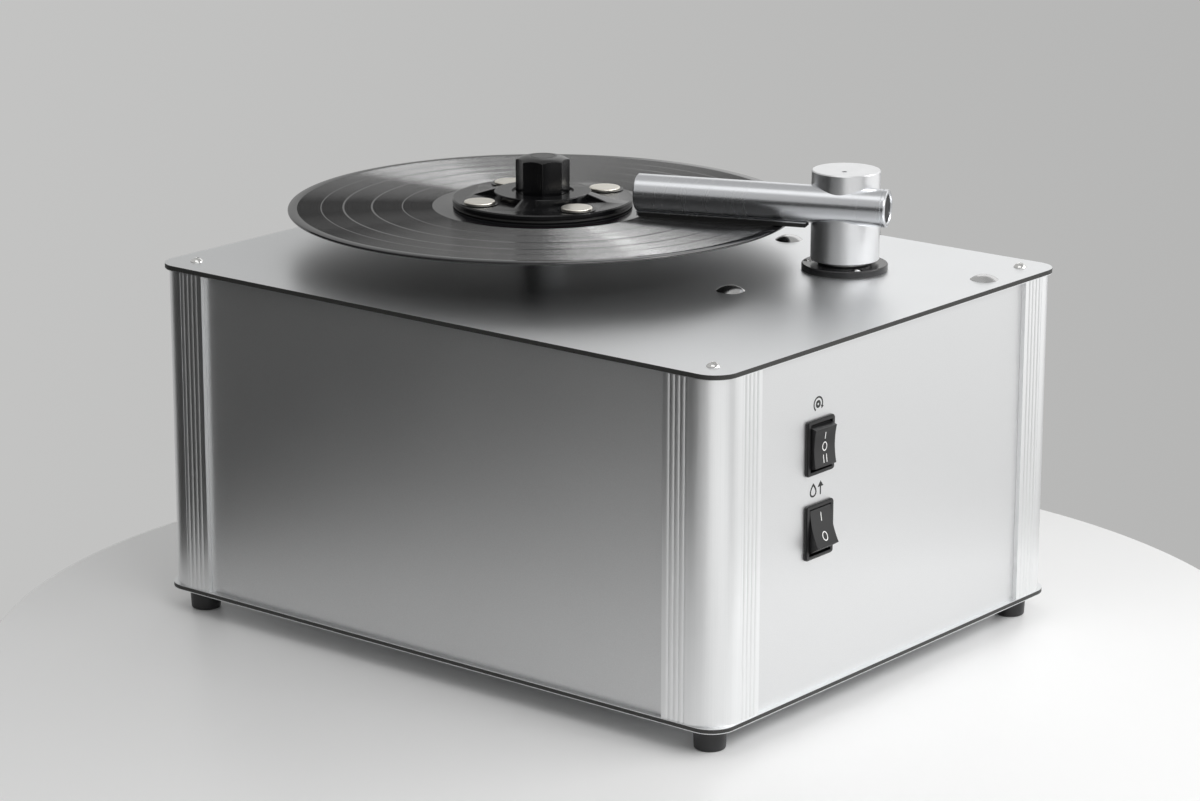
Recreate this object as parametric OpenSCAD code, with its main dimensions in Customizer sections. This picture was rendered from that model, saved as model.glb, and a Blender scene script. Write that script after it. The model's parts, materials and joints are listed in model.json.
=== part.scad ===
// Record cleaning machine: a box of four extruded aluminium corner posts between
// two composite plates, with a turntable for the record and a swinging suction arm.
// Front is -Y, the switches are on +X, and z = 0 is the table.

/* [Cabinet] */
// Width of the top and bottom plates
plate_w = 415; // [405:1:430]
// Depth of the top and bottom plates
plate_d = 329; // [325:1:345]
// Corner radius of both plates
plate_r = 14.5; // [10:0.5:18]
// Thickness of the composite sheet
sheet_t = 3; // [3:0.5:4]
// Thickness of each aluminium skin of the sheet
skin_t = 0.4; // [0.3:0.1:0.5]
// Underside of the bottom plate to the top of the top plate
body_h = 198; // [190:1:210]
// Height of a rubber foot
foot_h = 14; // [10:1:18]

/* [Corner posts] */
// Distance from the plate's edge to the end of a post's leg
post_leg = 37.6; // [34:0.2:42]
// Distance from the plate's edge to a post's face
post_inset = 0.25; // [0:0.05:1]
// Outer corner radius of a post
post_r = 20; // [15:0.5:22]
// Number of valleys between the reeds on each face
valley_count = 5; // [3:1:6]
// Distance between two valleys
valley_pitch = 3.46; // [3:0.02:3.6]
// Distance from the plate's edge to a side panel's face
panel_inset = 3; // [2.5:0.1:4]

/* [Arm] */
// Arm column to the right of the middle
column_x = 113.5; // [105:0.5:120]
// Arm column behind the middle
column_y = 78.5; // [72:0.5:82]
// Direction in which the arm points, from the column inwards
arm_angle = 201.7; // [195:0.1:210]
// Diameter of the column
column_d = 40; // [38:0.5:42]
// Outer diameter of the suction tube
tube_d = 22; // [20:0.5:24]
// Length of the suction tube
tube_len = 150; // [140:1:155]
// Side offset of the tube from the column's axis
tube_offset = 12; // [11:0.5:13]
// Height of the tube's axis above the top plate
tube_z = 40; // [39.5:0.5:42]

/* [Record and clamp] */
// Spindle to the left of the middle
spindle_x = -57.5; // [-60:0.5:-54]
// Spindle behind the middle
spindle_y = 10; // [6:0.5:14]
// Radius of the record
record_r = 150.9; // [150:0.1:151]
// Top of the record above the top plate
record_z = 26; // [26:0.5:28]
// Radius of the clamp's disc
clamp_r = 53.5; // [52:0.5:54]
// Corner radius of the eight-sided knob
knob_r = 16; // [14:0.5:16]

/* [Controls] */
// Switches in front of the middle
switch_y = -71.5; // [-90:0.5:-60]
// Height of the motor switch above the table
motor_switch_z = 155; // [150:0.5:160]
// Height of the vacuum switch above the table
vacuum_switch_z = 107.5; // [100:0.5:112]
// Tilt of a pressed rocker
rocker_tilt = 16; // [10:1:16]

/* [Hidden] */
$fn = 96;
e = 0.01;

half_w = plate_w / 2;
half_d = plate_d / 2;
plate_top = foot_h + body_h;
under_top = plate_top - sheet_t;
floor_z = foot_h + sheet_t;
record_top = plate_top + record_z;

// Holes and screws that the plates share
screw_inset = 17.5;
screw_r = 2.5;
screw_hole_r = 2.55;
bush_r = 15.5;
neck_r = 13;
neck_bore_r = 9.5;
running_gap = 0.06;
bolt_circle_r = 83.7;
bolt_angles = [22.8, 147.7, 256.7];
bolt_r = 3;
collar_screw_circle = 21.3;
collar_screw_angles = [-155, -35, 85];
bearing_screw_circle = 26;
small_screw_r = 1.5;

// The tank hangs under the arm, and the fan stands behind the turntable
tank_x = 114;
tank_y = 75;
tank_r = 75;
tank_wall = 2.5;
tank_bottom = 100;
lid_t = 6;
gasket_t = 1.5;
flange_t = 3;
fan_x = -128;
fan_y = 75;
hose_z = 178;
hose_bend_r = 35;
spigot_r = 15;

// The arm's own levels
column_bottom = plate_top + 6.2;
column_top = plate_top + 58.7;
collar_top = plate_top + 3.8;
bush_top = plate_top + 4.6;
washer_top = bush_top + 0.8;
spring_seat = plate_top + 17;
neck_top = plate_top + 27;
neck_bottom = 165;
tube_axis = plate_top + tube_z;
tube_r = tube_d / 2;
tube_bore_r = tube_r - 1.5;
tube_outer_end = -28;

// The turntable's levels
record_t = 2;
mat_t = 1;
platter_t = 5;
platter_r = 50;
hub_r = 13;
shaft_r = 5;
pin_r = 3.55;
thread_r = 3;
mat_bottom = record_top - record_t - mat_t;
platter_bottom = mat_bottom - platter_t;
housing_bottom = 165;

module at_corner(sx, sy) {
    translate([sx * half_w, sy * half_d, 0])
        mirror([sx > 0 ? 1 : 0, 0, 0])
            mirror([0, sy > 0 ? 1 : 0, 0])
                children();
}

module at_all_corners() {
    for (sx = [-1, 1], sy = [-1, 1])
        at_corner(sx, sy) children();
}

module at_arm() {
    translate([column_x, column_y, 0])
        rotate([0, 0, arm_angle])
            children();
}

module at_spindle() {
    translate([spindle_x, spindle_y, 0]) children();
}

module at_bolts() {
    for (a = bolt_angles)
        translate([tank_x, tank_y, 0])
            rotate([0, 0, a])
                translate([bolt_circle_r, 0, 0])
                    children();
}

module at_collar_screws() {
    for (a = collar_screw_angles)
        translate([column_x, column_y, 0])
            rotate([0, 0, a])
                translate([collar_screw_circle, 0, 0])
                    children();
}

module at_bearing_screws() {
    for (a = [30, 150, 270])
        at_spindle()
            rotate([0, 0, a])
                translate([bearing_screw_circle, 0, 0])
                    children();
}

module rounded_rect(w, d, r) {
    square([w - 2 * r, d], center = true);
    square([w, d - 2 * r], center = true);
    for (sx = [-1, 1], sy = [-1, 1])
        translate([sx * (w / 2 - r), sy * (d / 2 - r)])
            circle(r);
}

module ring(outer_r, inner_r, z_low, z_high) {
    translate([0, 0, z_low])
        difference() {
            cylinder(r = outer_r, h = z_high - z_low);
            translate([0, 0, -1])
                cylinder(r = inner_r, h = z_high - z_low + 2);
        }
}

module rod(r, z_low, z_high) {
    translate([0, 0, z_low])
        cylinder(r = r, h = z_high - z_low);
}

// Low round head with a hexagon socket, on a plain shank
module button_screw(head_r, head_h, shank_r, shank_len, socket_r) {
    sphere_r = (head_r * head_r + head_h * head_h) / (2 * head_h);
    difference() {
        intersection() {
            cylinder(r = head_r, h = head_h);
            translate([0, 0, head_h - sphere_r])
                sphere(sphere_r);
        }
        translate([0, 0, head_h * 0.45])
            cylinder(r = socket_r, h = head_h, $fn = 6);
    }
    translate([0, 0, -shank_len])
        cylinder(r = shank_r, h = shank_len + e);
}

// Cabinet plates: a dark core between two aluminium skins

module top_plate_outline() {
    difference() {
        rounded_rect(plate_w, plate_d, plate_r);
        at_all_corners()
            translate([screw_inset, screw_inset]) circle(screw_hole_r);
        at_bolts() circle(bolt_r + 0.1);
        at_collar_screws() circle(small_screw_r + 0.05);
        at_bearing_screws() circle(small_screw_r + 0.05);
        translate([column_x, column_y]) circle(bush_r + 0.05);
        at_spindle() circle(9);
    }
}

module bottom_plate_outline() {
    difference() {
        rounded_rect(plate_w, plate_d, plate_r);
        at_all_corners()
            translate([screw_inset, screw_inset]) circle(screw_hole_r);
    }
}

module plate_core(z) {
    translate([0, 0, z + skin_t])
        linear_extrude(sheet_t - 2 * skin_t)
            children();
}

module plate_skins(z) {
    for (level = [z, z + sheet_t - skin_t])
        translate([0, 0, level])
            linear_extrude(skin_t)
                children();
}

module top_panel_core() {
    color("#1c1c1c") plate_core(under_top) top_plate_outline();
}

module top_panel_skins() {
    color("#d4d6d9") plate_skins(under_top) top_plate_outline();
}

module bottom_panel_core() {
    color("#1c1c1c") plate_core(foot_h) bottom_plate_outline();
}

module bottom_panel_skins() {
    color("#d4d6d9") plate_skins(foot_h) bottom_plate_outline();
}

// Corner post: one extruded profile, drawn from the sharp corner of the plates.
// Each face ends in a row of rounded reeds, and a slot holds the side panel.

panel_slot_gap = 0.05;
slot_depth = 7;
slot_back = 2.5;
leg_t = panel_inset - post_inset + sheet_t + slot_back;
reed_r = 3.2;
first_valley = post_leg - 4.1 - (valley_count - 1) * valley_pitch;
reed_depth = reed_r - sqrt(reed_r * reed_r - valley_pitch * valley_pitch / 4);

module reed_valleys() {
    for (i = [0 : valley_count - 1])
        translate([first_valley + i * valley_pitch, post_inset])
            difference() {
                translate([-valley_pitch / 2, -1])
                    square([valley_pitch, reed_depth + 1]);
                for (side = [-1, 1])
                    translate([side * valley_pitch / 2, reed_r])
                        circle(reed_r);
            }
}

module post_leg_2d() {
    difference() {
        translate([post_inset, post_inset])
            square([post_leg - post_inset, leg_t]);
        translate([post_leg - slot_depth, panel_inset - panel_slot_gap])
            square([slot_depth + 1, sheet_t + 2 * panel_slot_gap]);
        reed_valleys();
    }
}

module post_profile() {
    boss_r = 6;
    difference() {
        intersection() {
            union() {
                post_leg_2d();
                mirror([1, -1]) post_leg_2d();
                translate([screw_inset, screw_inset]) circle(boss_r);
                translate([post_inset, post_inset])
                    square(screw_inset - post_inset + boss_r * 0.5);
            }
            union() {
                translate([post_inset + post_r, post_inset + post_r])
                    circle(post_r);
                translate([post_inset + post_r, 0])
                    square([post_leg, post_leg]);
                translate([0, post_inset + post_r])
                    square([post_leg, post_leg]);
            }
        }
        translate([screw_inset, screw_inset])
            circle(screw_hole_r);
    }
}

module corner_post(sx, sy) {
    color("#c9cbcd")
        at_corner(sx, sy)
            translate([0, 0, floor_z])
                linear_extrude(under_top - floor_z)
                    post_profile();
}

module corner_post_front_left() { corner_post(-1, -1); }
module corner_post_front_right() { corner_post(1, -1); }
module corner_post_back_left() { corner_post(-1, 1); }
module corner_post_back_right() { corner_post(1, 1); }

// Side panels: flat sheets that slide into the slots of the posts

panel_reach = post_leg - slot_depth + 0.3;
panel_long = plate_w - 2 * panel_reach;
panel_short = plate_d - 2 * panel_reach;
panel_h = under_top - floor_z;
side_face = half_w - panel_inset;
rear_face = half_d - panel_inset;

// A sheet across X, its outer face at the given Y, on the side named by sy
module x_sheet(sy) {
    translate([0, sy * (rear_face - sheet_t / 2), floor_z])
        rotate([90, 0, 0])
            linear_extrude(sheet_t, center = true)
                children();
}

module front_panel() {
    color("#7c7e80")
        x_sheet(-1)
            translate([-panel_long / 2, 0])
                square([panel_long, panel_h]);
}

// Rear fittings
inlet_x = -150;
inlet_z = 48;
vent_x = -128;
vent_z = 104;
vent_count = 9;
vent_pitch = 9;
vent_w = 3.6;
vent_h = 46;
drain_z = 112;
drain_r = 8;

module vent_slots() {
    for (i = [0 : vent_count - 1])
        translate([vent_x + (i - (vent_count - 1) / 2) * vent_pitch, vent_z - floor_z]) {
            square([vent_w, vent_h - vent_w], center = true);
            for (end = [-1, 1])
                translate([0, end * (vent_h - vent_w) / 2])
                    circle(vent_w / 2);
        }
}

module back_panel() {
    color("#c4c6c8")
        x_sheet(1)
            difference() {
                translate([-panel_long / 2, 0])
                    square([panel_long, panel_h]);
                vent_slots();
                translate([inlet_x, inlet_z - floor_z])
                    square([28.3, 20.3], center = true);
                translate([tank_x, drain_z - floor_z])
                    circle(drain_r + 0.05);
            }
}

module left_panel() {
    color("#b9bbbd")
        translate([-side_face, -panel_short / 2, floor_z])
            cube([sheet_t, panel_short, panel_h]);
}

switch_w = 21.6;
switch_h = 28.2;

module right_panel() {
    color("#cfd1d3")
        difference() {
            translate([side_face - sheet_t, -panel_short / 2, floor_z])
                cube([sheet_t, panel_short, panel_h]);
            for (z = [motor_switch_z, vacuum_switch_z])
                translate([side_face, switch_y, z])
                    cube([3 * sheet_t, switch_w + 0.3, switch_h + 0.3], center = true);
        }
}

// Rubber feet, screwed up into the posts from below

module feet() {
    color("#262626")
        at_all_corners()
            translate([screw_inset, screw_inset, 0])
                difference() {
                    rotate_extrude()
                        polygon([[0, 0], [8.1, 0], [8.7, 0.6], [9.5, foot_h], [0, foot_h]]);
                    translate([0, 0, -1])
                        cylinder(r = screw_hole_r, h = foot_h + 2);
                    translate([0, 0, -1])
                        cylinder(r = 5.2, h = foot_h / 2 + 1);
                }
}

module foot_screws() {
    color("#8d8d8d")
        at_all_corners()
            translate([screw_inset, screw_inset, foot_h / 2])
                mirror([0, 0, 1])
                    button_screw(4.6, 2.6, screw_r, foot_h / 2 + 22, 1.6);
}

module top_corner_screws() {
    color("#dcdcdc")
        at_all_corners()
            translate([screw_inset, screw_inset, plate_top])
                button_screw(4, 2.4, screw_r, 24, 1.5);
}

// Rocker switches: a black bezel and case, and a rocker on two small trunnions

switch_cavity_w = 19.8;
switch_cavity_h = 26.8;
bezel_t = 2;
rocker_axis_x = side_face - 3.5;
rocker_arc_r = 12.9;
trunnion_r = 1.5;

module switch_body(z) {
    color("#232323")
        translate([side_face, switch_y, z])
            difference() {
                union() {
                    rotate([90, 0, 90]) {
                        linear_extrude(bezel_t - 0.6)
                            rounded_rect(25, 31, 1.9);
                        linear_extrude(bezel_t)
                            rounded_rect(24, 30, 1.4);
                    }
                    translate([-22, -switch_w / 2, -switch_h / 2])
                        cube([22 + e, switch_w, switch_h]);
                }
                translate([-14.5, -switch_cavity_w / 2, -switch_cavity_h / 2])
                    cube([20, switch_cavity_w, switch_cavity_h]);
                translate([-3.5, 0, 0])
                    rotate([90, 0, 0])
                        cylinder(r = trunnion_r + running_gap, h = 30, center = true);
            }
}

module motor_switch_body() { switch_body(motor_switch_z); }
module vacuum_switch_body() { switch_body(vacuum_switch_z); }

// Profile with the pivot at the origin, the dished face outwards along x
module rocker_profile() {
    face_x = 8.7;
    face_half = 10.7;
    dish_r = 48.3;
    dish = 1.2;
    difference() {
        union() {
            intersection() {
                circle(rocker_arc_r);
                translate([-3, -rocker_arc_r]) square([7.2, 2 * rocker_arc_r]);
            }
            polygon([
                [0, -face_half - 1.4], [4, -face_half - 1.4], [face_x, -face_half],
                [face_x, face_half], [4, face_half + 1.4], [0, face_half + 1.4]
            ]);
        }
        translate([face_x - dish + dish_r, 0])
            circle(dish_r);
    }
}

module rocker(z, tilt) {
    color("#2b2b2b")
        translate([rocker_axis_x, switch_y, z])
            rotate([90, tilt, 0]) {
                linear_extrude(19, center = true)
                    rocker_profile();
                cylinder(r = trunnion_r, h = 21, center = true);
            }
}

module motor_rocker() { rocker(motor_switch_z, 0); }
module vacuum_rocker() { rocker(vacuum_switch_z, -rocker_tilt); }

module switch_terminals() {
    color("#d8c48a")
        for (z = [motor_switch_z, vacuum_switch_z], row = [-1, 0, 1], side = [-1, 1])
            translate([side_face - 30, switch_y + side * 5 - 0.4, z + row * 9 - 3.15])
                cube([8, 0.8, 6.3]);
}

// Mains inlet: a snap-in socket for an appliance lead, its cavity open to the rear

inlet_mouth_y = rear_face + 2.5;

module inlet_cavity_2d() {
    polygon([
        [-12.2, 8.3], [12.2, 8.3], [12.2, -5.3], [9.2, -8.3], [-9.2, -8.3], [-12.2, -5.3]
    ]);
}

module power_inlet() {
    color("#1f1f1f")
        translate([inlet_x, inlet_mouth_y, inlet_z])
            rotate([90, 0, 0])
                difference() {
                    union() {
                        linear_extrude(2.5)
                            rounded_rect(31, 24, 2);
                        translate([0, 0, 2.5 - e])
                            linear_extrude(21)
                                square([28, 20], center = true);
                    }
                    translate([0, 0, -1])
                        linear_extrude(19)
                            inlet_cavity_2d();
                }
}

module inlet_pins() {
    color("#d9d9d9")
        for (p = [[-7, -2], [7, -2], [0, 2]])
            translate([inlet_x + p[0], inlet_mouth_y - 18, inlet_z + p[1]])
                translate([-1, 0, -2])
                    cube([2, 12, 4]);
}

// Arm pivot: a collar screwed to the top plate holds the bush in which the neck
// turns and slides, and a light spring under the column carries the arm's weight

module arm_collar() {
    color("#202020")
        difference() {
            translate([column_x, column_y, 0])
                rotate_extrude()
                    polygon([
                        [bush_r, plate_top], [25.1, plate_top],
                        [25.1, collar_top - 0.5], [24.6, collar_top],
                        [bush_r, collar_top]
                    ]);
            at_collar_screws()
                rod(small_screw_r + 0.05, plate_top - 1, collar_top + 1);
            at_collar_screws()
                rod(2.9, collar_top - 1, collar_top + 1);
        }
}

module collar_screws() {
    color("#e0e0e0")
        at_collar_screws()
            translate([0, 0, collar_top - 1])
                button_screw(2.7, 1.5, small_screw_r, 11, 0.9);
}

module pivot_bush() {
    color("#141414")
        translate([column_x, column_y, 0])
            ring(bush_r, neck_r + running_gap, 190, bush_top);
}

module spring_washer() {
    color("#b8b8b8")
        translate([column_x, column_y, 0])
            ring(15.4, neck_r + 0.3, bush_top, washer_top);
}

// Round wire wound on a cylinder: rings of points, stepped evenly along the helix
module coil(mean_r, wire_r, z_low, z_high, turns, steps_per_turn, sides) {
    steps = turns * steps_per_turn;
    rise = (z_high - z_low - 2 * wire_r) / steps;
    points = [
        for (i = [0 : steps], j = [0 : sides - 1])
            let (a = i * 360 / steps_per_turn, b = j * 360 / sides)
                [
                    (mean_r + wire_r * cos(b)) * cos(a),
                    (mean_r + wire_r * cos(b)) * sin(a),
                    z_low + wire_r + i * rise + wire_r * sin(b)
                ]
    ];
    walls = [
        for (i = [0 : steps - 1], j = [0 : sides - 1])
            let (k = i * sides, n = (j + 1) % sides)
                each [
                    [k + j, k + sides + j, k + sides + n],
                    [k + j, k + sides + n, k + n]
                ]
    ];
    start_cap = [for (j = [1 : sides - 2]) [0, j, j + 1]];
    last = steps * sides;
    end_cap = [for (j = [1 : sides - 2]) [last, last + j + 1, last + j]];
    polyhedron(points = points, faces = concat(walls, start_cap, end_cap));
}

module arm_spring() {
    color("#9a9a9a")
        translate([column_x, column_y, 0])
            coil(14.35, 0.8, washer_top, spring_seat, 3, 16, 6);
}

module arm_column() {
    seat_r = column_d / 2 - 4.1;
    color("#d6d7d9")
        difference() {
            at_arm()
                rotate_extrude()
                    polygon([
                        [0, column_bottom], [column_d / 2 - 0.4, column_bottom],
                        [column_d / 2, column_bottom + 0.4], [column_d / 2, column_top - 0.6],
                        [column_d / 2 - 0.6, column_top], [0, column_top]
                    ]);
            at_arm() {
                rod(seat_r, column_bottom - 1, spring_seat);
                rod(neck_r, column_bottom - 1, neck_top);
                rod(neck_bore_r, column_bottom - 1, tube_axis);
                translate([-40, tube_offset, tube_axis])
                    rotate([0, 90, 0])
                        cylinder(r = tube_r, h = 80);
                translate([-0.5, 6.6, 0])
                    rod(small_screw_r + 0.05, tube_axis, column_top + 1);
                rotate([0, 0, set_screw_angle])
                    translate([neck_r - 1, 0, set_screw_z])
                        rotate([0, 90, 0])
                            cylinder(r = small_screw_r + 0.05, h = 12);
            }
        }
}

set_screw_angle = -162;
set_screw_z = plate_top + 21.5;

module grub_screw(r, length) {
    difference() {
        cylinder(r = r, h = length);
        translate([0, 0, length - r])
            cylinder(r = r * 0.55, h = r + 1, $fn = 6);
    }
}

module column_set_screws() {
    color("#6c6c6c")
        at_arm() {
            translate([-0.5, 6.6, tube_axis + tube_r])
                grub_screw(small_screw_r, 5.5);
            rotate([0, 0, set_screw_angle])
                translate([neck_r + 0.05, 0, set_screw_z])
                    rotate([0, 90, 0])
                        grub_screw(small_screw_r, column_d / 2 - neck_r + 0.4);
        }
}

circlip_z = bush_top - 38;

module arm_neck() {
    color("#1b1b1b")
        at_arm()
            difference() {
                rod(neck_r, neck_bottom, neck_top);
                rod(neck_bore_r, neck_bottom - 1, neck_top + 1);
                difference() {
                    rod(neck_r + 2, circlip_z, circlip_z + 1.2);
                    rod(neck_r - 0.6, circlip_z - 1, circlip_z + 3);
                }
            }
}

module neck_circlip() {
    color("#8a8a8a")
        at_arm()
            difference() {
                ring(neck_r + 1.8, neck_r - 0.6, circlip_z, circlip_z + 1.2);
                translate([0, -2, circlip_z - 1])
                    cube([20, 4, 4]);
            }
}

// Suction tube: bored through, milled flat below, with a slot along the strip. Its
// outer end is turned as a rounded lip behind a narrow groove.
end_bore_r = tube_r - 2.8;
end_bore_len = 6;
strip_start = 19.4;
slot_start = 27;
slot_end = 118;
carrier_top = tube_axis - tube_r + 0.7;
carrier_t = 0.8;
lip_bottom = record_top + 0.4;

module arm_tube() {
    color("#cfd0d2")
        at_arm()
            difference() {
                translate([tube_outer_end, tube_offset, tube_axis])
                    rotate([0, 90, 0])
                        rotate_extrude()
                            polygon([
                                [end_bore_r, 0.7], [end_bore_r + 0.7, 0], [tube_r - 0.9, 0],
                                [tube_r - 0.25, 0.3], [tube_r, 0.9], [tube_r, 2.3],
                                [tube_r - 0.5, 2.3], [tube_r - 0.5, 2.8], [tube_r, 2.8],
                                [tube_r, tube_len - 0.7], [tube_r - 0.7, tube_len],
                                [tube_bore_r, tube_len], [tube_bore_r, end_bore_len],
                                [end_bore_r, end_bore_len]
                            ]);
                translate([strip_start, tube_offset - 6, carrier_top - 3])
                    cube([tube_len, 12, 3]);
                translate([slot_start, tube_offset - 1.5, carrier_top - 4])
                    cube([slot_end - slot_start, 3, 8]);
                translate([0, tube_offset - 7, 0])
                    rod(5, tube_axis - tube_r - 1, tube_axis);
            }
}

module arm_plugs() {
    color("#191919")
        at_arm()
            translate([tube_outer_end, tube_offset, tube_axis])
                rotate([0, 90, 0]) {
                    rod(end_bore_r, 1.4, end_bore_len);
                    rod(tube_bore_r, tube_len - 5, tube_len - 0.6);
                }
}

module lip_outline(x_low, x_high, width) {
    translate([x_low, tube_offset - width / 2])
        square([x_high - x_low, width]);
}

module lip_carrier() {
    carrier_end = tube_outer_end + tube_len - 0.5;
    color("#b4b6b8")
        at_arm() {
            translate([0, 0, carrier_top - carrier_t])
                linear_extrude(carrier_t)
                    difference() {
                        lip_outline(strip_start, carrier_end, 10);
                        lip_outline(slot_start, slot_end, 3);
                    }
            translate([carrier_end - 0.9, tube_offset - 4, lip_bottom + 0.4])
                cube([0.9, 8, carrier_top - carrier_t - lip_bottom]);
        }
}

module suction_lips() {
    color("#101010")
        at_arm()
            translate([0, 0, lip_bottom])
                linear_extrude(carrier_top - carrier_t - lip_bottom)
                    difference() {
                        lip_outline(strip_start + 0.4, tube_outer_end + tube_len - 1.6, 8.6);
                        lip_outline(slot_start, slot_end, 2.6);
                    }
}

// Turntable: spindle in two bronze bushes, driven from below by a gear motor

module bearing_housing() {
    color("#a9abad")
        at_spindle()
            difference() {
                union() {
                    rod(32, under_top - 5, under_top);
                    rod(13, housing_bottom, under_top);
                }
                rod(8, under_top - 12, under_top + 1);
                rod(8, housing_bottom - 1, housing_bottom + 12);
                rod(6.5, housing_bottom, under_top);
                for (a = [30, 150, 270])
                    rotate([0, 0, a])
                        translate([bearing_screw_circle, 0, 0])
                            rod(small_screw_r + 0.05, under_top - 6, under_top + 1);
            }
}

module bearing_bushes() {
    color("#b08d57")
        at_spindle() {
            ring(8, shaft_r + running_gap, under_top - 12, under_top);
            ring(8, shaft_r + running_gap, housing_bottom, housing_bottom + 12);
        }
}

module bearing_screws() {
    color("#dcdcdc")
        at_bearing_screws()
            translate([0, 0, plate_top])
                button_screw(2.8, 1.6, small_screw_r, 8, 0.9);
}

module spindle() {
    shaft_bottom = 151;
    color("#d9dadb")
        at_spindle()
            rotate_extrude()
                polygon([
                    [0, shaft_bottom], [shaft_r, shaft_bottom], [shaft_r, mat_bottom],
                    [pin_r, mat_bottom], [pin_r, record_top + 1.1],
                    [thread_r, record_top + 1.1], [thread_r, record_top + 17],
                    [thread_r - 1, record_top + 18], [0, record_top + 18]
                ]);
}

module platter_hub() {
    color("#c8cacc")
        at_spindle()
            ring(hub_r, shaft_r, plate_top + 1.4, platter_bottom);
}

module platter() {
    color("#2a2a2a")
        at_spindle()
            rotate_extrude()
                polygon([
                    [shaft_r, platter_bottom], [platter_r - 2, platter_bottom],
                    [platter_r, platter_bottom + 2], [platter_r, mat_bottom],
                    [shaft_r, mat_bottom]
                ]);
}

module platter_mat() {
    color("#161616")
        at_spindle()
            ring(platter_r - 1, 8, mat_bottom, mat_bottom + mat_t);
}

// Long-playing record: raised centre and rim, with the playing area a little lower
module record() {
    dip = 0.15;
    color("#0d0d0e")
        at_spindle()
            translate([0, 0, record_top - record_t])
                rotate_extrude($fn = 180)
                    polygon([
                        [3.62, 0], [51, 0], [52, dip], [145.5, dip], [147, 0],
                        [record_r - 0.7, 0.3], [record_r, record_t / 2],
                        [record_r - 0.7, record_t - 0.3], [147, record_t],
                        [145.5, record_t - dip], [52, record_t - dip],
                        [51, record_t], [3.62, record_t]
                    ]);
}

module shaft_coupling() {
    color("#9fa1a3")
        at_spindle() {
            difference() {
                rod(9.5, 138, 163);
                rod(shaft_r, 151, 164);
                translate([8, 0, 144])
                    rotate([0, 90, 0])
                        cylinder(r = 1.5, h = 4, center = true);
            }
            rod(4, 112, 139);
        }
}

module gear_motor() {
    color("#8f9193")
        at_spindle() {
            difference() {
                union() {
                    rod(19, 42, 97);
                    rod(30, 96, 128);
                    rod(7, 127, 131);
                    for (a = [90, 210, 330])
                        rotate([0, 0, a])
                            translate([24, 0, 0])
                                rod(4, 127, under_top - 5);
                }
                rod(4 + running_gap, 110, 132);
            }
        }
}

// Clamp: a moulded disc with four ramps up to its hub, four steel weights and a
// rubber seal below. The knob's brass insert screws down the spindle's thread.

disc_top = record_top + 4.9;
hub_top = record_top + 8.7;
seal_t = 1.8;
clamp_hub_r = 28.8;
ramp_end_r = 41.5;
ramp_angle = 17;
weight_circle = 42;
weight_r = 9.25;
weight_first_angle = -22;
recess_r = 18.5;
insert_r = 6;
insert_flange_r = 8;
knob_bottom = hub_top - 0.8;

module at_weights() {
    for (i = [0 : 3])
        rotate([0, 0, weight_first_angle + 90 * i])
            translate([weight_circle, 0, 0])
                children();
}

module ramp_wedge() {
    reach = 60;
    half = ramp_angle / 2;
    polygon([
        [0, 0], [reach * cos(half), -reach * sin(half)], [reach * cos(half), reach * sin(half)]
    ]);
}

module clamp_disc() {
    disc_bottom = record_top + seal_t;
    color("#1e1e1f")
        at_spindle()
            difference() {
                union() {
                    rotate_extrude()
                        polygon([
                            [0, disc_bottom], [clamp_r - 0.4, disc_bottom],
                            [clamp_r, disc_bottom + 0.5], [clamp_r, disc_top - 0.7],
                            [clamp_r - 0.7, disc_top], [clamp_hub_r, disc_top],
                            [clamp_hub_r, hub_top - 0.4], [clamp_hub_r - 0.4, hub_top],
                            [0, hub_top]
                        ]);
                    intersection() {
                        translate([0, 0, disc_top - e])
                            cylinder(r1 = ramp_end_r, r2 = clamp_hub_r, h = hub_top - disc_top);
                        for (i = [0 : 3])
                            rotate([0, 0, weight_first_angle + 45 + 90 * i])
                                linear_extrude(hub_top + 1)
                                    ramp_wedge();
                    }
                    at_weights() rod(weight_r + 1.9, disc_top - e, disc_top + 0.5);
                }
                at_weights() rod(weight_r + 0.1, disc_top - 1.2, disc_top + 2);
                rod(recess_r, hub_top - 1, hub_top + 1);
                rod(insert_r + running_gap, disc_bottom - 1, hub_top + 1);
                rod(insert_flange_r + 0.3, disc_bottom - 1, record_top + 2.9);
            }
}

module clamp_seal() {
    color("#0e0e0e")
        at_spindle()
            rotate_extrude()
                polygon([
                    [45.5, record_top], [clamp_r - 0.5, record_top],
                    [clamp_r - 0.1, record_top + 0.5], [clamp_r - 0.1, record_top + 1],
                    [clamp_r - 0.9, record_top + 1.3], [clamp_r - 0.9, record_top + seal_t],
                    [45.5, record_top + seal_t]
                ]);
}

module clamp_weights() {
    weight_bottom = disc_top - 1.2;
    weight_top = disc_top + 1.8;
    color("#cfccc4")
        at_spindle()
            at_weights()
                rotate_extrude()
                    polygon([
                        [0, weight_bottom], [weight_r, weight_bottom],
                        [weight_r, weight_top - 0.5], [weight_r - 0.5, weight_top],
                        [0, weight_top]
                    ]);
}

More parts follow.
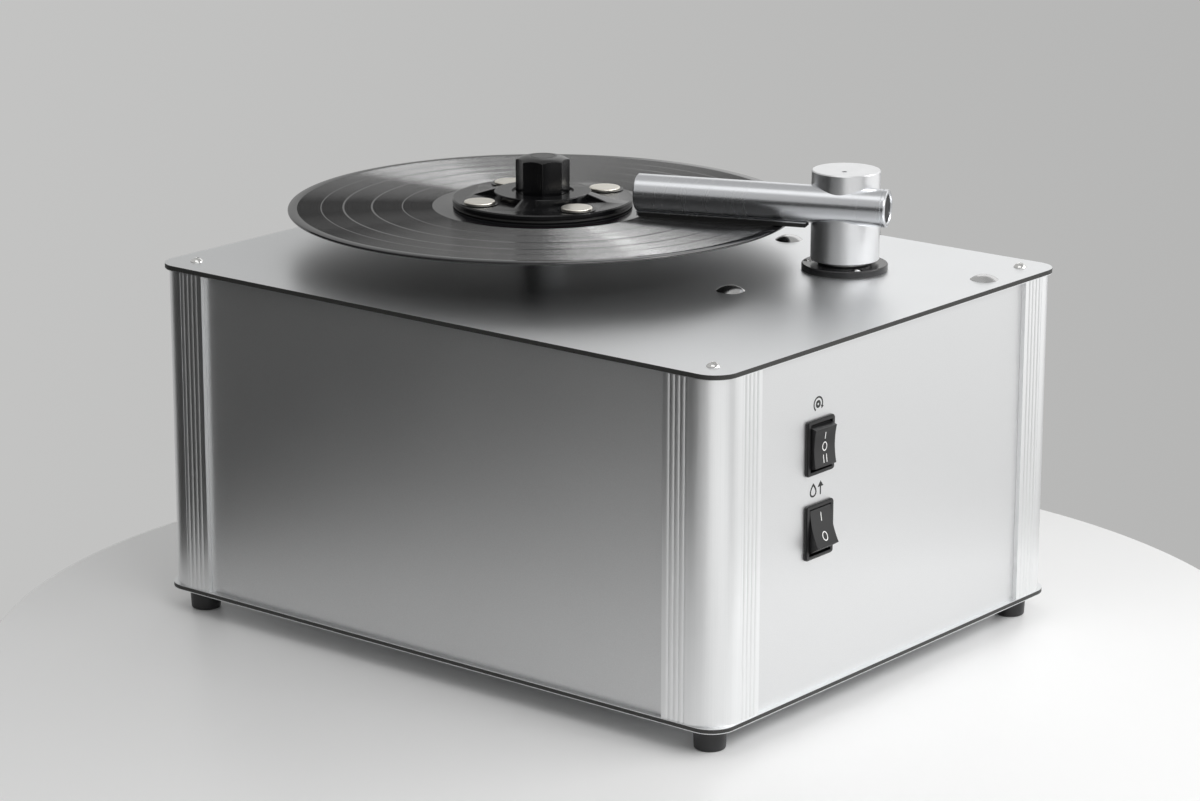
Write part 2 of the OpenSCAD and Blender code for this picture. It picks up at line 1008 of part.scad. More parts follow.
// Knob: an eight-sided column with dished flats, its top falling away to the ridges
module clamp_knob() {
    cap_r = 6.85;
    top_z = record_top + 29.5;
    droop = 2.2;
    dish = 0.7;
    dish_r = 23.5;
    knob_ridge_angle = -51;
    flat = knob_r * cos(22.5);
    rim = knob_r + 1;
    fall = [
        for (i = [0 : 6])
            let (r = cap_r + (rim - cap_r) * i / 6)
                [r, top_z - droop * pow((r - cap_r) / (knob_r - cap_r), 2)]
    ];
    color("#19191a")
        at_spindle()
            rotate([0, 0, knob_ridge_angle])
                difference() {
                    rod(knob_r, knob_bottom, top_z);
                    for (i = [0 : 7])
                        rotate([0, 0, 22.5 + 45 * i])
                            translate([flat - dish + dish_r, 0, 0])
                                rod(dish_r, knob_bottom - 1, top_z + 1);
                    rotate_extrude()
                        polygon(concat(fall, [[rim, top_z + 1], [cap_r, top_z + 1]]));
                    ring(cap_r + 0.4, cap_r, top_z - 0.25, top_z + 1);
                    rod(insert_r, knob_bottom - 1, record_top + 18);
                    rod(3.4, record_top + 17, record_top + 20);
                }
}

module clamp_insert() {
    color("#b9975b")
        at_spindle()
            difference() {
                union() {
                    rod(insert_flange_r, record_top + 1.5, record_top + 2.9);
                    rod(insert_r, record_top + 2.8, record_top + 18);
                }
                rod(thread_r + running_gap, record_top + 1, record_top + 19);
            }
}

// Waste fluid tank: a round tub on the three domed bolts, with its lid and gasket

tub_top = under_top - lid_t - gasket_t;

module tank_rim() {
    circle(tank_r + 3);
    for (a = bolt_angles)
        rotate([0, 0, a])
            translate([bolt_circle_r, 0])
                circle(8.5);
}

module fluid_tank() {
    color("#e6e7e4", 0.8)
        difference() {
            translate([tank_x, tank_y, 0])
                union() {
                    rod(tank_r, tank_bottom, tub_top);
                    translate([0, 0, tub_top - flange_t])
                        linear_extrude(flange_t)
                            tank_rim();
                    translate([-tank_r - 19, 0, hose_z])
                        rotate([0, 90, 0])
                            cylinder(r = spigot_r, h = 25);
                    translate([0, tank_r - 6, drain_z])
                        rotate([-90, 0, 0])
                            cylinder(r = drain_r, h = rear_face + 4 - tank_y - tank_r + 6);
                }
            translate([tank_x, tank_y, 0])
                rod(tank_r - tank_wall, tank_bottom + tank_wall, tub_top + 1);
            translate([tank_x - tank_r - 20, tank_y, hose_z])
                rotate([0, 90, 0])
                    cylinder(r = spigot_r - 2, h = 25);
            translate([tank_x, tank_y + tank_r - 10, drain_z])
                rotate([-90, 0, 0])
                    cylinder(r = drain_r - 2, h = 40);
            at_bolts() rod(bolt_r + 0.1, tub_top - 10, tub_top + 1);
        }
}

module tank_gasket() {
    color("#2f2f2f")
        translate([tank_x, tank_y, 0])
            ring(tank_r + 2, tank_r - tank_wall, tub_top, tub_top + gasket_t);
}

module tank_lid() {
    color("#d9dad7")
        difference() {
            translate([tank_x, tank_y, tub_top + gasket_t])
                linear_extrude(lid_t)
                    tank_rim();
            at_bolts() rod(bolt_r + 0.1, tub_top - 1, under_top + 1);
            translate([column_x, column_y, 0])
                rod(bush_r + 0.05, tub_top - 1, under_top + 1);
            at_collar_screws()
                rod(small_screw_r + 0.05, tub_top - 1, under_top + 1);
        }
}

module tank_bolts() {
    dome_r = 8.3;
    dome_h = 2.9;
    sphere_r = (dome_r * dome_r + dome_h * dome_h) / (2 * dome_h);
    nut_top = tub_top - flange_t;
    color("#e4e4e4")
        at_bolts() {
            intersection() {
                rod(dome_r, plate_top, plate_top + dome_h);
                translate([0, 0, plate_top + dome_h - sphere_r])
                    sphere(sphere_r);
            }
            rod(bolt_r, nut_top - 8, plate_top + e);
            translate([0, 0, nut_top - 5])
                cylinder(r = 5.77, h = 5, $fn = 6);
        }
}

// Rubber cap pushed over the tank's drain spout behind the cabinet
module drain_cap() {
    cap_r = 12;
    cap_face = rear_face + 7.2;
    color("#1c1c1c")
        translate([tank_x, 0, drain_z])
            rotate([-90, 0, 0])
                difference() {
                    rod(cap_r, rear_face + 0.3, cap_face);
                    rod(drain_r + 0.3, rear_face, rear_face + 4.4);
                    for (i = [0 : 11])
                        rotate([0, 0, 30 * i])
                            translate([cap_r + 0.6, 0, 0])
                                rod(1.3, rear_face, cap_face + 1);
                }
}

// Air path: hose from the tank to the fan, which a mains motor turns below it

mount_t = 8;
fan_floor = 100;
fan_roof = 134;
fan_case_r = 58;
fan_shaft_r = 4;

module hose_wall_2d() {
    difference() {
        circle(17);
        circle(spigot_r + 0.05);
    }
}

module vacuum_hose() {
    elbow_x = fan_x + hose_bend_r;
    color("#33363a") {
        translate([elbow_x, fan_y, hose_z])
            rotate([90, 0, 90])
                linear_extrude(tank_x - tank_r - 3 - elbow_x)
                    hose_wall_2d();
        translate([elbow_x, fan_y, hose_z - hose_bend_r])
            rotate([90, 0, 0])
                rotate([0, 0, 90])
                    rotate_extrude(angle = 90)
                        translate([hose_bend_r, 0]) hose_wall_2d();
        translate([fan_x, fan_y, fan_roof])
            linear_extrude(hose_z - hose_bend_r - fan_roof)
                hose_wall_2d();
    }
}

// Ring of rubber that keeps the motor's noise out of the bottom plate
module motor_mount() {
    color("#222222")
        translate([fan_x, fan_y, 0])
            ring(50, 34, floor_z, floor_z + mount_t);
}

module vacuum_motor() {
    can_r = 42;
    color("#7d7f82")
        translate([fan_x, fan_y, 0])
            difference() {
                union() {
                    rod(can_r, floor_z + mount_t, fan_floor - 2);
                    rod(fan_case_r, fan_floor - 2, fan_floor);
                }
                rod(fan_shaft_r + running_gap, 34, fan_floor + 1);
                for (i = [0 : 11])
                    rotate([0, 0, 30 * i])
                        translate([can_r - 1.5, -2.5, 48])
                            cube([4, 5, 34]);
            }
}

module fan_housing() {
    color("#b3b5b7")
        translate([fan_x, fan_y, 0])
            difference() {
                union() {
                    rod(fan_case_r, fan_floor, fan_roof);
                    rod(spigot_r, fan_roof - 1, fan_roof + 8);
                }
                rod(fan_case_r - 1.5, fan_floor - 1, fan_roof - 1.5);
                rod(spigot_r - 2, fan_roof - 3, fan_roof + 9);
                for (i = [0 : 7])
                    rotate([0, 0, 45 * i])
                        translate([50, -9, fan_floor + 2])
                            cube([12, 18, 5]);
            }
}

// Nine swept blades between a back plate and a front shroud, on the motor's shaft
module fan_impeller() {
    wheel_r = 52;
    eye_r = 18;
    blade_t = 1.4;
    blade_arc_r = 34;
    blade_low = fan_floor + 8.5;
    blade_high = fan_floor + 23;
    color("#c9ced2")
        translate([fan_x, fan_y, 0]) {
            rod(wheel_r, blade_low - 1.5, blade_low);
            rod(10, blade_low - 3, blade_high - 2);
            ring(wheel_r, eye_r, blade_high, blade_high + 1.5);
            rod(fan_shaft_r, 38, blade_high + 4);
            translate([0, 0, blade_low - e])
                linear_extrude(blade_high - blade_low + 2 * e)
                    intersection() {
                        for (i = [0 : 8])
                            rotate([0, 0, 40 * i])
                                translate([16, blade_arc_r - 4])
                                    difference() {
                                        circle(blade_arc_r);
                                        circle(blade_arc_r - blade_t);
                                        translate([-80, -40])
                                            square([80, 120]);
                                        translate([-1, 14])
                                            square([80, 120]);
                                    }
                        difference() {
                            circle(wheel_r - 0.5);
                            circle(eye_r - 2);
                        }
                    }
        }
}

top_panel_core();
top_panel_skins();
bottom_panel_core();
bottom_panel_skins();
corner_post_front_left();
corner_post_front_right();
corner_post_back_left();
corner_post_back_right();
front_panel();
back_panel();
left_panel();
right_panel();
feet();
foot_screws();
top_corner_screws();
motor_switch_body();
vacuum_switch_body();
motor_rocker();
vacuum_rocker();
switch_terminals();
power_inlet();
inlet_pins();
arm_collar();
collar_screws();
pivot_bush();
spring_washer();
arm_spring();
arm_column();
column_set_screws();
arm_neck();
neck_circlip();
arm_tube();
arm_plugs();
lip_carrier();
suction_lips();
bearing_housing();
bearing_bushes();
bearing_screws();
spindle();
platter_hub();
platter();
platter_mat();
record();
shaft_coupling();
gear_motor();
clamp_disc();
clamp_seal();
clamp_weights();
clamp_knob();
clamp_insert();
fluid_tank();
tank_gasket();
tank_lid();
tank_bolts();
drain_cap();
vacuum_hose();
motor_mount();
vacuum_motor();
fan_housing();
fan_impeller();
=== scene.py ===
import json
import math

import bmesh
import bpy
import numpy as np
from mathutils import Matrix, Vector

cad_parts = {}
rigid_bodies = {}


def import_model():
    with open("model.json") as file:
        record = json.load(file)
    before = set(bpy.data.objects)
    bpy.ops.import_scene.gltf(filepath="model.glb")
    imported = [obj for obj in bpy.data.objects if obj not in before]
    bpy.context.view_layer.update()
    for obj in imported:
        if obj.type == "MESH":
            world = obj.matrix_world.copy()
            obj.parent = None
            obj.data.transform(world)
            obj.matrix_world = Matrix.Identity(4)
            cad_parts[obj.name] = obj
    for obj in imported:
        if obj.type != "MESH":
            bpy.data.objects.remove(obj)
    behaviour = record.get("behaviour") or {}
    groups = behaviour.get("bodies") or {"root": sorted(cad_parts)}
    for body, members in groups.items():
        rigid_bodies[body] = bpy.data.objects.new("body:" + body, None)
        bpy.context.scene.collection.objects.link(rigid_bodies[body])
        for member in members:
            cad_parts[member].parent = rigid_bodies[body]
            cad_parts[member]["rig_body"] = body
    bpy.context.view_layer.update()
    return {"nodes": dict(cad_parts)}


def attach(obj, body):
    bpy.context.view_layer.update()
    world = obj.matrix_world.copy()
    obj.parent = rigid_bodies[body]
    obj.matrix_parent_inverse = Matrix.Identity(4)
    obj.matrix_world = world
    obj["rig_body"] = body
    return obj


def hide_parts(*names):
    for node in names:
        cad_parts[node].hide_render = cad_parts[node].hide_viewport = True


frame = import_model()
nodes = frame["nodes"]

# Camera: a long lens above the right front corner, as the photograph was taken.
# The azimuth is counted from the front towards the right side, and the image is
# 1200 by 801 pixels, so the lens is given for a sensor 36 mm wide.
camera_azimuth = math.radians(39.01)
camera_elevation = math.radians(15.27)
camera_roll = math.radians(0.08)
camera_place = Vector((1.3456, -1.6679, 0.7146))

camera = bpy.data.objects.new("camera", bpy.data.cameras.new("camera"))
camera.data.lens = 113.1
camera.data.sensor_width = 36
camera.data.clip_end = 30
camera.matrix_world = (
    Matrix.Translation(camera_place)
    @ Matrix.Rotation(camera_azimuth, 4, "Z")
    @ Matrix.Rotation(math.pi / 2 - camera_elevation, 4, "X")
    @ Matrix.Rotation(camera_roll, 4, "Z")
)
bpy.context.collection.objects.link(camera)
bpy.context.scene.camera = camera
bpy.context.scene.view_settings.view_transform = "Standard"


# Studio: a plain round white table top, a grey background all round, and soft boxes.
# The table's rim is rounded, and its lacquer shows the cabinet as a faint reflection.
class Value:
    """A socket of a node tree that Python's operators turn into Math nodes."""

    def __init__(self, tree, socket):
        self.tree = tree
        self.socket = socket

    def plug(self, target):
        """Links the socket to an input."""
        self.tree.links.new(self.socket, target)

    def math(self, operation, other=None):
        """A Math node of this value and, where the operation takes two, of the other."""
        node = self.tree.nodes.new("ShaderNodeMath")
        node.operation = operation
        self.plug(node.inputs[0])
        if isinstance(other, Value):
            other.plug(node.inputs[1])
        elif other is not None:
            node.inputs[1].default_value = other
        return Value(self.tree, node.outputs[0])

    def limited(self, low, high):
        """The value kept between two limits."""
        return self.math("MINIMUM", high).math("MAXIMUM", low)

    def __add__(self, other):
        return self.math("ADD", other)

    def __sub__(self, other):
        return self.math("SUBTRACT", other)

    def __mul__(self, other):
        return self.math("MULTIPLY", other)

    def __truediv__(self, other):
        return self.math("DIVIDE", other)

    def __pow__(self, other):
        return self.math("POWER", other)


class Finish:
    """A material with its shader; constants go on the shader, patterns are plugged in."""

    def __init__(self, name, slot=None, **constants):
        self.slot = slot or name
        self.material = bpy.data.materials.new(name)
        self.material.use_nodes = True
        self.tree = self.material.node_tree
        self.shader = self.tree.nodes["Principled BSDF"]
        for socket, value in constants.items():
            self.shader.inputs[socket.replace("_", " ")].default_value = value

    def node(self, kind, settings=None, inputs=None, output=0):
        """Adds a node: its settings first, then the values or links of its inputs."""
        made = self.tree.nodes.new(kind)
        for key, value in (settings or {}).items():
            setattr(made, key, value)
        for key, value in (inputs or {}).items():
            if isinstance(value, Value):
                value.plug(made.inputs[key])
            else:
                made.inputs[key].default_value = value
        return Value(self.tree, made.outputs[output])

    def place(self, move=(0, 0, 0), turn=(0, 0, 0), stretch=(1, 1, 1)):
        """The point on the piece, moved, turned and stretched for a pattern."""
        point = self.node("ShaderNodeTexCoord", output="Object")
        return self.node("ShaderNodeMapping", {"vector_type": "POINT"},
                         {"Vector": point, "Location": move, "Rotation": turn, "Scale": stretch})

    def noise(self, place, scale, detail=2.0, roughness=0.5):
        """Cloudy noise from 0 to 1 with so many waves to the metre."""
        return self.node("ShaderNodeTexNoise", {}, {
            "Vector": place, "Scale": scale, "Detail": detail, "Roughness": roughness,
        })

    def blend(self, mask, low, high):
        """A colour between two colours by a mask."""
        return self.node("ShaderNodeMix", {"data_type": "RGBA"},
                         {"Factor": mask, "A": (*low, 1), "B": (*high, 1)}, output=2)

    def feed(self, socket, value):
        """Plugs a pattern into an input of the shader."""
        value.plug(self.shader.inputs[socket])

    def bump(self, height, depth):
        """Feeds a height from 0 to 1, as deep as depth in metres, to the normal."""
        self.feed("Normal", self.node("ShaderNodeBump", {}, {
            "Height": height, "Distance": depth, "Strength": 1,
        }))

    def dress(self, *names):
        """Puts the finish on CAD nodes."""
        for name in names:
            for slot in nodes[name].material_slots:
                slot.material = self.material


def placed_mesh(name, points, faces, finish, smooth=True):
    """A mesh object at the origin from arrays of points and of faces."""
    mesh = bpy.data.meshes.new(name)
    mesh.from_pydata(points.tolist(), [], faces)
    mesh.materials.append(finish.material)
    mesh.polygons.foreach_set("use_smooth", np.full(len(mesh.polygons), smooth))
    if smooth:
        mesh.set_sharp_from_angle(angle=math.radians(35))
    piece = bpy.data.objects.new(name, mesh)
    bpy.context.collection.objects.link(piece)
    return piece


def grid_faces(rows, columns, joined=False):
    """Quads between the rows of a grid; columns close round, and rows too when joined."""
    row, column = np.meshgrid(
        np.arange(rows if joined else rows - 1), np.arange(columns), indexing="ij")
    above = (row + 1) % rows
    aside = (column + 1) % columns
    return np.stack([
        (row * columns + column).ravel(), (row * columns + aside).ravel(),
        (above * columns + aside).ravel(), (above * columns + column).ravel(),
    ], 1).tolist()


# The top is round behind the machine and drawn out towards the camera, where the
# photograph shows no edge: a circle whose near half is stretched along the view.
table_reach = 0.378
table_near_stretch = 1.64
table_middle = np.array([0.0486, -0.0342])
table_steps = 256
table_profile = (
    (0.0, 0.0), (table_reach - 0.003, 0.0), (table_reach - 0.0008, -0.0008),
    (table_reach, -0.003), (table_reach, -0.019), (table_reach - 0.003, -0.022), (0.0, -0.022),
)
across_view = np.array([math.cos(camera_azimuth), math.sin(camera_azimuth)])
along_view = np.array([-math.sin(camera_azimuth), math.cos(camera_azimuth)])
rim_turn = np.linspace(0, 2 * np.pi, table_steps, endpoint=False)
rim_away = np.sin(rim_turn) * np.where(np.sin(rim_turn) < 0, table_near_stretch, 1)
rim_line = np.cos(rim_turn)[:, None] * across_view + rim_away[:, None] * along_view
lacquer = Finish("white_lacquer", Base_Color=(0.84, 0.84, 0.84, 1), Roughness=0.38)
lacquer.bump(lacquer.noise(lacquer.place(), 900), 0.00001)
table = placed_mesh("table_top", np.concatenate([
    np.column_stack([table_middle + rim_line * reach, np.full(table_steps, height)])
    for reach, height in table_profile
]), grid_faces(len(table_profile), table_steps), lacquer)

# What the camera and reflections see is a grey that leans darker towards the right;
# what lights the surfaces from all round is one even grey.
background_grey = 0.507
background_lean = -0.25
lean_limit = 0.18
fill_grey = 0.43
world = bpy.data.worlds.new("studio")
world.use_nodes = True
bpy.context.scene.world = world
world_nodes = world.node_tree.nodes
sky = world_nodes["Background"]
sky.inputs["Color"].default_value = (1, 1, 0.99, 1)
ray = world_nodes.new("ShaderNodeLightPath")
seen = Value(world.node_tree, ray.outputs["Is Camera Ray"])
for other_ray in ("Is Glossy Ray", "Is Transmission Ray"):
    seen = seen.math("MAXIMUM", Value(world.node_tree, ray.outputs[other_ray]))
heading = Value(world.node_tree, world_nodes.new("ShaderNodeTexCoord").outputs["Generated"])
sideways = world_nodes.new("ShaderNodeVectorMath")
sideways.operation = "DOT_PRODUCT"
sideways.inputs[1].default_value = (*across_view, 0)
heading.plug(sideways.inputs[0])
lean = Value(world.node_tree, sideways.outputs["Value"]).limited(-lean_limit, lean_limit)
seen_grey = lean * background_lean + (background_grey - fill_grey)
(seen * seen_grey + fill_grey).plug(sky.inputs["Strength"])

lamp_aim = Vector((0, 0, 0.2))


def soft_box(name, azimuth, elevation, distance, width, height, brightness):
    """An area lamp seen from the machine at that azimuth and elevation, facing it.

    The azimuth is counted from the right side towards the back, in degrees, and the
    face shows the given brightness, where 1 is white.
    """
    lamp = bpy.data.lights.new(name, "AREA")
    lamp.shape = "RECTANGLE"
    lamp.size, lamp.size_y = width, height
    lamp.energy = brightness * math.pi * width * height
    box = bpy.data.objects.new(name, lamp)
    turn, rise = math.radians(azimuth), math.radians(elevation)
    outward = Vector((
        math.cos(rise) * math.cos(turn), math.cos(rise) * math.sin(turn), math.sin(rise),
    ))
    box.matrix_world = (
        Matrix.Translation(lamp_aim + outward * distance)
        @ outward.to_track_quat("Z", "Y").to_matrix().to_4x4()
    )
    box.visible_camera = False
    bpy.context.collection.objects.link(box)


soft_box("key_front", -15, 38, 2.4, 2.0, 0.8, 4.2)
soft_box("key_side", 32, 38, 2.4, 2.15, 0.8, 4.1)
soft_box("back_box", 99, 23, 2.4, 2.6, 1.4, 0.6)
soft_box("low_box", 50, -2, 2.4, 3.4, 1.3, 0.68)
soft_box("front_low_box", -28, -15, 2.4, 2.4, 0.8, 0.5)
soft_box("top_box", -68, 72, 2.2, 1.6, 1.0, 0.8)

black_card = Finish("black_card", Base_Color=(0.01, 0.01, 0.01, 1), Roughness=0.9)


def dark_card(name, middle, across, up):
    """An upright black sheet that only reflections see; across and up are half its sides."""
    middle, across, up = np.array(middle), np.array(across), np.array(up)
    corners = np.array([
        middle + across * side + up * rise
        for side, rise in ((-1, -1), (1, -1), (1, 1), (-1, 1))
    ])
    card = placed_mesh(name, corners, [(0, 1, 2, 3)], black_card, smooth=False)
    card.visible_camera = False
    card.visible_diffuse = False
    card.visible_shadow = False


dark_card("left_card", (-0.95, -1.05, 0.0), (0.96, -0.87, 0), (0, 0, 0.85))
dark_card("front_card", (0.15, -2.2, 0.25), (0.95, 0.1, 0), (0, 0, 0.55))


# Cabinet plates: composite sheet, a black plastic core between two thin skins of
# aluminium, anodised with a fine even grain. The routed edge shows all three layers.
sheet_skin = Finish("sheet_skin", Base_Color=(0.80, 0.81, 0.82, 1), Metallic=1.0, Roughness=0.3)
skin_grain = sheet_skin.noise(sheet_skin.place(), 2600, 1)
skin_cloud = sheet_skin.noise(sheet_skin.place(), 24, 3)
sheet_skin.feed("Base Color", sheet_skin.blend(
    skin_grain, (0.76, 0.77, 0.78), (0.84, 0.85, 0.86)))
sheet_skin.feed("Roughness", skin_grain * 0.06 + skin_cloud * 0.04 + 0.31)
sheet_skin.bump(skin_grain, 0.000006)
sheet_skin.dress("bottom_panel_skins")

merge_distance = 0.000001
flat_angle = math.radians(0.6)


def eased(name, node, finish, ease, angle=30, segments=2):
    """A CAD node's own shape with its sharp edges rounded a little, as tools leave them.

    The corners of its loose triangles are merged, flat areas become single faces, and
    a bevel of the given width runs along every edge sharper than the angle.
    """
    shape = bmesh.new()
    shape.from_mesh(nodes[node].data)
    bmesh.ops.remove_doubles(shape, verts=shape.verts, dist=merge_distance)
    bmesh.ops.dissolve_limit(
        shape, angle_limit=flat_angle, verts=shape.verts, edges=shape.edges)
    mesh = bpy.data.meshes.new(name)
    shape.to_mesh(mesh)
    shape.free()
    mesh.materials.clear()
    mesh.materials.append(finish.material)
    mesh.polygons.foreach_set("material_index", np.zeros(len(mesh.polygons), int))
    mesh.polygons.foreach_set("use_smooth", np.ones(len(mesh.polygons), bool))
    mesh.set_sharp_from_angle(angle=math.radians(angle))
    piece = bpy.data.objects.new(name, mesh)
    bpy.context.collection.objects.link(piece)
    rounding = piece.modifiers.new("rounding", "BEVEL")
    rounding.width = ease
    rounding.segments = segments
    rounding.limit_method = "ANGLE"
    rounding.angle_limit = math.radians(angle)
    rounding.harden_normals = True
    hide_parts(node)
    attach(piece, nodes[node]["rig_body"])
    return piece


sheet_core = Finish("sheet_core", Base_Color=(0.03, 0.03, 0.03, 1), Roughness=0.5)
core_saw = sheet_core.noise(sheet_core.place(stretch=(1, 1, 0.1)), 1800, 2)
sheet_core.feed("Base Color", sheet_core.blend(
    core_saw, (0.018, 0.018, 0.017), (0.04, 0.04, 0.038)))
sheet_core.bump(core_saw, 0.00002)
sheet_core.dress("top_panel_core", "bottom_panel_core")

# The router leaves the upper skin's cut edge as dark as the core below it: of the
# upright faces, those of the upper skin that lie outside all the plate's holes.
plate_level = 0.212
skin_thickness = 0.0004
holes_end_at = (0.19, 0.147)
top_skins = eased("top_skins", "top_panel_skins", sheet_skin, 0.00008)
top_skins.data.materials.append(sheet_core.material)
skin_middles = np.array([face.center for face in top_skins.data.polygons])
skin_facings = np.array([face.normal for face in top_skins.data.polygons])
outer_edge = (np.abs(skin_middles[:, :2]) > holes_end_at).any(1)
upper_skin = skin_middles[:, 2] > plate_level - skin_thickness - 0.0001
cut_edge = (np.abs(skin_facings[:, 2]) < 0.5) & upper_skin & outer_edge
top_skins.data.polygons.foreach_set("material_index", cut_edge.astype(int))

# Corner posts: one aluminium extrusion cut to four lengths and satin anodised. The
# drawing dies leave faint lines that run the whole height.
post_metal = Finish("post_metal", Base_Color=(0.82, 0.825, 0.83, 1), Metallic=1.0, Roughness=0.3)
post_lines = post_metal.noise(post_metal.place(stretch=(1, 1, 0.01)), 1500, 2)
post_grain = post_metal.noise(post_metal.place(), 2600, 1)
post_metal.feed("Base Color", post_metal.blend(
    post_lines, (0.85, 0.86, 0.865), (0.92, 0.925, 0.93)))
post_metal.feed("Roughness", post_grain * 0.05 + post_lines * 0.06 + 0.31)
post_metal.bump(post_lines, 0.000008)
post_metal.dress(
    "corner_post_front_left", "corner_post_front_right",
    "corner_post_back_left", "corner_post_back_right",
)

# Side panels: 3 mm aluminium sheet, its face finely blasted and anodised, so that it
# mirrors softly and shows an even sparkle from close by.
panel_metal = Finish("panel_metal", Base_Color=(0.78, 0.785, 0.79, 1), Metallic=1.0, Roughness=0.38)
panel_grain = panel_metal.noise(panel_metal.place(), 2200, 2, 0.7)
panel_cloud = panel_metal.noise(panel_metal.place(), 18, 3)
panel_metal.feed("Base Color", panel_metal.blend(
    panel_grain, (0.70, 0.705, 0.71), (0.85, 0.855, 0.86)))
panel_metal.feed("Roughness", panel_grain * 0.08 + panel_cloud * 0.03 + 0.41)
panel_metal.bump(panel_grain, 0.00001)
panel_metal.dress("front_panel", "back_panel", "left_panel", "right_panel")

# Feet, drain cap and the vacuum motor's ring: moulded black rubber with a satin skin,
# its edges left round by the mould.
foot_rubber = Finish("foot_rubber", Base_Color=(0.02, 0.02, 0.021, 1), Roughness=0.42)
rubber_grain = foot_rubber.noise(foot_rubber.place(), 1200, 3)
foot_rubber.feed("Roughness", rubber_grain * 0.2 + 0.32)
foot_rubber.bump(rubber_grain, 0.00002)
foot_rubber.dress("motor_mount")
eased("rubber_feet", "feet", foot_rubber, 0.0004)
eased("spout_cap", "drain_cap", foot_rubber, 0.0006)

# Screws that show: button heads in polished steel at the plate's corners and round the
# column's collar, and the three that hold the platter's bearing.
bright_steel = Finish("bright_steel", Base_Color=(0.78, 0.78, 0.77, 1), Metallic=1.0, Roughness=0.1)
steel_haze = bright_steel.noise(bright_steel.place(), 700, 2)
bright_steel.feed("Roughness", steel_haze * 0.08 + 0.06)
bright_steel.dress("bearing_screws")
eased("corner_button_screws", "top_corner_screws", bright_steel, 0.0002)

# Tank bolts: a tumbled dome on a shank through plate, lid and flange, and a nut below.
# Three of them stand on a circle round the tank's axis.
dome_steel = Finish("dome_steel", slot="bright_steel",
                    Base_Color=(0.64, 0.64, 0.64, 1), Metallic=1.0, Roughness=0.2)
dome_haze = dome_steel.noise(dome_steel.place(), 420, 2)
dome_steel.feed("Roughness", dome_haze * 0.12 + 0.15)
dome_steel.bump(dome_haze, 0.00003)
tank_axis = np.array([0.114, 0.075])
bolt_circle = 0.0837
bolt_turns = np.radians([22.8, 147.7, 256.7])
dome_radius, dome_height = 0.0083, 0.0029
shank_radius, shank_end = 0.003, 0.1905
nut_bore, nut_corner, nut_bottom, nut_top = 0.00301, 0.00577, 0.1935, 0.1985

# The dome is a cap of a ball: at a lean from its top it lies the ball's radius times the
# sine outwards, and the ball's radius times one less the cosine down.
ball_radius = (dome_radius ** 2 + dome_height ** 2) / (2 * dome_height)
dome_top = plate_level + dome_height
dome_lean = np.linspace(0.01, math.asin(dome_radius / ball_radius), 14)
bolt_profile = np.concatenate([
    np.stack([
        ball_radius * np.sin(dome_lean), dome_top - ball_radius * (1 - np.cos(dome_lean)),
    ], 1),
    [(shank_radius, plate_level), (shank_radius, shank_end)],
])
nut_profile = np.array([
    (nut_bore, nut_bottom), (nut_bore, nut_top), (nut_corner, nut_top), (nut_corner, nut_bottom),
])


def turned(profile, turn, axis):
    """A surface of revolution: a profile of (radius, height) turned round an upright axis.

    Each point is the axis plus the radius times the cosine and sine of the angle, at the
    profile's height. Angles that run clockwise from above, with a profile that runs
    outwards along its top and then down, give faces that look outwards.
    """
    return np.stack([
        axis[0] + profile[:, :1] * np.cos(turn),
        axis[1] + profile[:, :1] * np.sin(turn),
        np.broadcast_to(profile[:, 1:], (len(profile), len(turn))),
    ], -1).reshape(-1, 3)


bolt_points, bolt_faces, point_count = [], [], 0
for bolt_turn in bolt_turns:
    bolt_axis = tank_axis + bolt_circle * np.array([math.cos(bolt_turn), math.sin(bolt_turn)])
    for profile, steps, is_ring in ((bolt_profile, 48, False), (nut_profile, 6, True)):
        faces = grid_faces(len(profile), steps, joined=is_ring)
        if not is_ring:
            last_row = (len(profile) - 1) * steps
            faces += [list(range(steps))[::-1], list(range(last_row, last_row + steps))]
        bolt_faces += [[point_count + corner for corner in face] for face in faces]
        around = bolt_turn - np.arange(steps) * (2 * np.pi / steps)
        bolt_points.append(turned(profile, around, bolt_axis))
        point_count += len(bolt_points[-1])
tank_dome_bolts = placed_mesh(
    "tank_dome_bolts", np.concatenate(bolt_points), bolt_faces, dome_steel)
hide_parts("tank_bolts")
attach(tank_dome_bolts, "cabinet")

eased("collar_button_screws", "collar_screws", bright_steel, 0.0002)

# Plain steel inside: screws, shaft, coupling, spring and rings, ground or drawn and
# left bright, with a dull cloudy sheen.
plain_steel = Finish("plain_steel", Base_Color=(0.5, 0.5, 0.5, 1), Metallic=1.0, Roughness=0.3)
plain_haze = plain_steel.noise(plain_steel.place(), 900, 3)
plain_steel.feed("Roughness", plain_haze * 0.2 + 0.22)
plain_steel.bump(plain_haze, 0.00001)
plain_steel.dress(
    "foot_screws", "spring_washer", "arm_spring", "column_set_screws", "neck_circlip",
    "spindle", "shaft_coupling",
)

# Rocker switches and mains inlet: snap-in cases with a bezel, and dished rockers,
# moulded in black polyamide with a satin face.
switch_plastic = Finish("switch_plastic", Base_Color=(0.009, 0.009, 0.0095, 1), Roughness=0.38)
switch_grain = switch_plastic.noise(switch_plastic.place(), 2600, 1)
switch_plastic.feed("Roughness", switch_grain * 0.16 + 0.3)
switch_plastic.bump(switch_grain, 0.000012)
eased("motor_switch_case", "motor_switch_body", switch_plastic, 0.0003)
eased("vacuum_switch_case", "vacuum_switch_body", switch_plastic, 0.0003)
eased("motor_rocker_key", "motor_rocker", switch_plastic, 0.0004)
eased("vacuum_rocker_key", "vacuum_rocker", switch_plastic, 0.0004)
eased("inlet_case", "power_inlet", switch_plastic, 0.0004)

